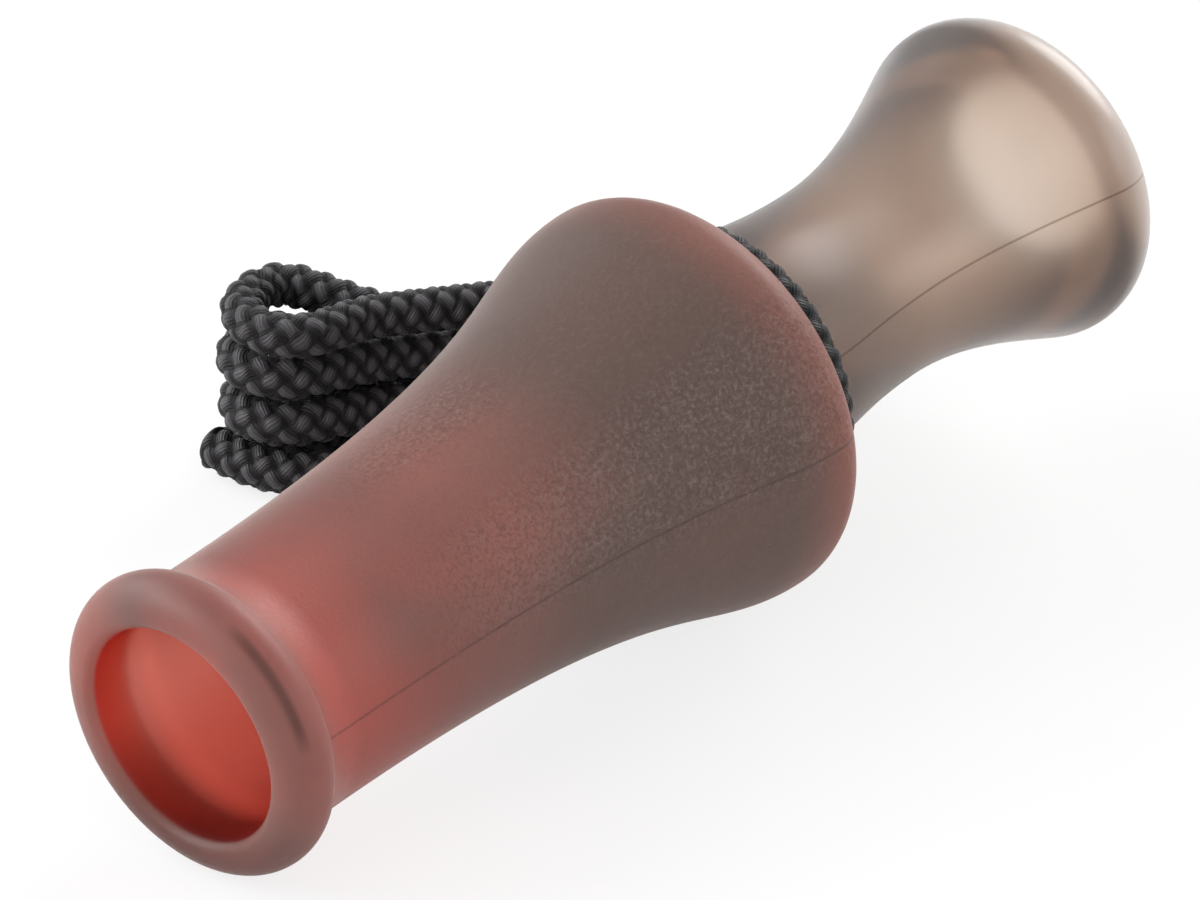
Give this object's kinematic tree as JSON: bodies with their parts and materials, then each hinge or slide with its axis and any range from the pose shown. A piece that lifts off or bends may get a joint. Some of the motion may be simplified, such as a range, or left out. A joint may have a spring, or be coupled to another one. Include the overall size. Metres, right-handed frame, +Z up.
{
  "type": "raccoon call",
  "caption": "Mouth-blown game call: a swelling barrel with a rolled mouth bead, a plug-in bell insert that carries a reed on a tone board, and a braided lanyard in a folded hank.",
  "frame": {"origin": "On the table, under the middle of the bounding box of the call without its lanyard.", "axes": "+X runs from the mouth to the bell, +Z is up and +Y points to the side where the lanyard lies. The call lies on its bead and shoulder, so its axis rises 4.8 degrees from +X towards +Z."},
  "size_m": [0.1154, 0.0701, 0.0386],
  "materials": {
    "red_smoke_plastic": "satin, faintly translucent",
    "smoke_plastic": "semi-gloss, translucent",
    "board_plastic": "moulded, satin",
    "reed_film": "smooth film",
    "cork": "pressed cork",
    "rubber": "moulded, matt",
    "cord": "braided"
  },
  "bodies": {
    "barrel": {"barrel": "red_smoke_plastic"},
    "seals_and_lanyard": {"o_ring_front": "rubber", "o_ring_rear": "rubber", "lanyard_noose": "cord", "lanyard_knot": "cord", "lanyard_lead": "cord", "lanyard_hank": "cord"},
    "insert": {"bell_insert": "smoke_plastic", "tone_board": "board_plastic", "reed_root": "reed_film", "wedge": "cork"},
    "reed": {"reed_tongue": "reed_film"}
  },
  "joints": [
    {"name": "insert_pull", "type": "slide", "parent": "barrel", "child": "seals_and_lanyard", "axis": [0.9965, 0, 0.0835], "range_m": [0, 0.046]},
    {"name": "insert_twist", "type": "hinge", "parent": "seals_and_lanyard", "child": "insert", "pos_m": [0.01095, 0, 0.01956], "axis": [0.9965, 0, 0.0835], "continuous": true},
    {"name": "reed_flex", "type": "hinge", "parent": "insert", "child": "reed", "pos_m": [-0.00603, 0, 0.01861], "axis": [0, 1, 0], "range_deg": [-3.2, 2.5], "stiffness_Nm_per_rad": 0.017}
  ]
}
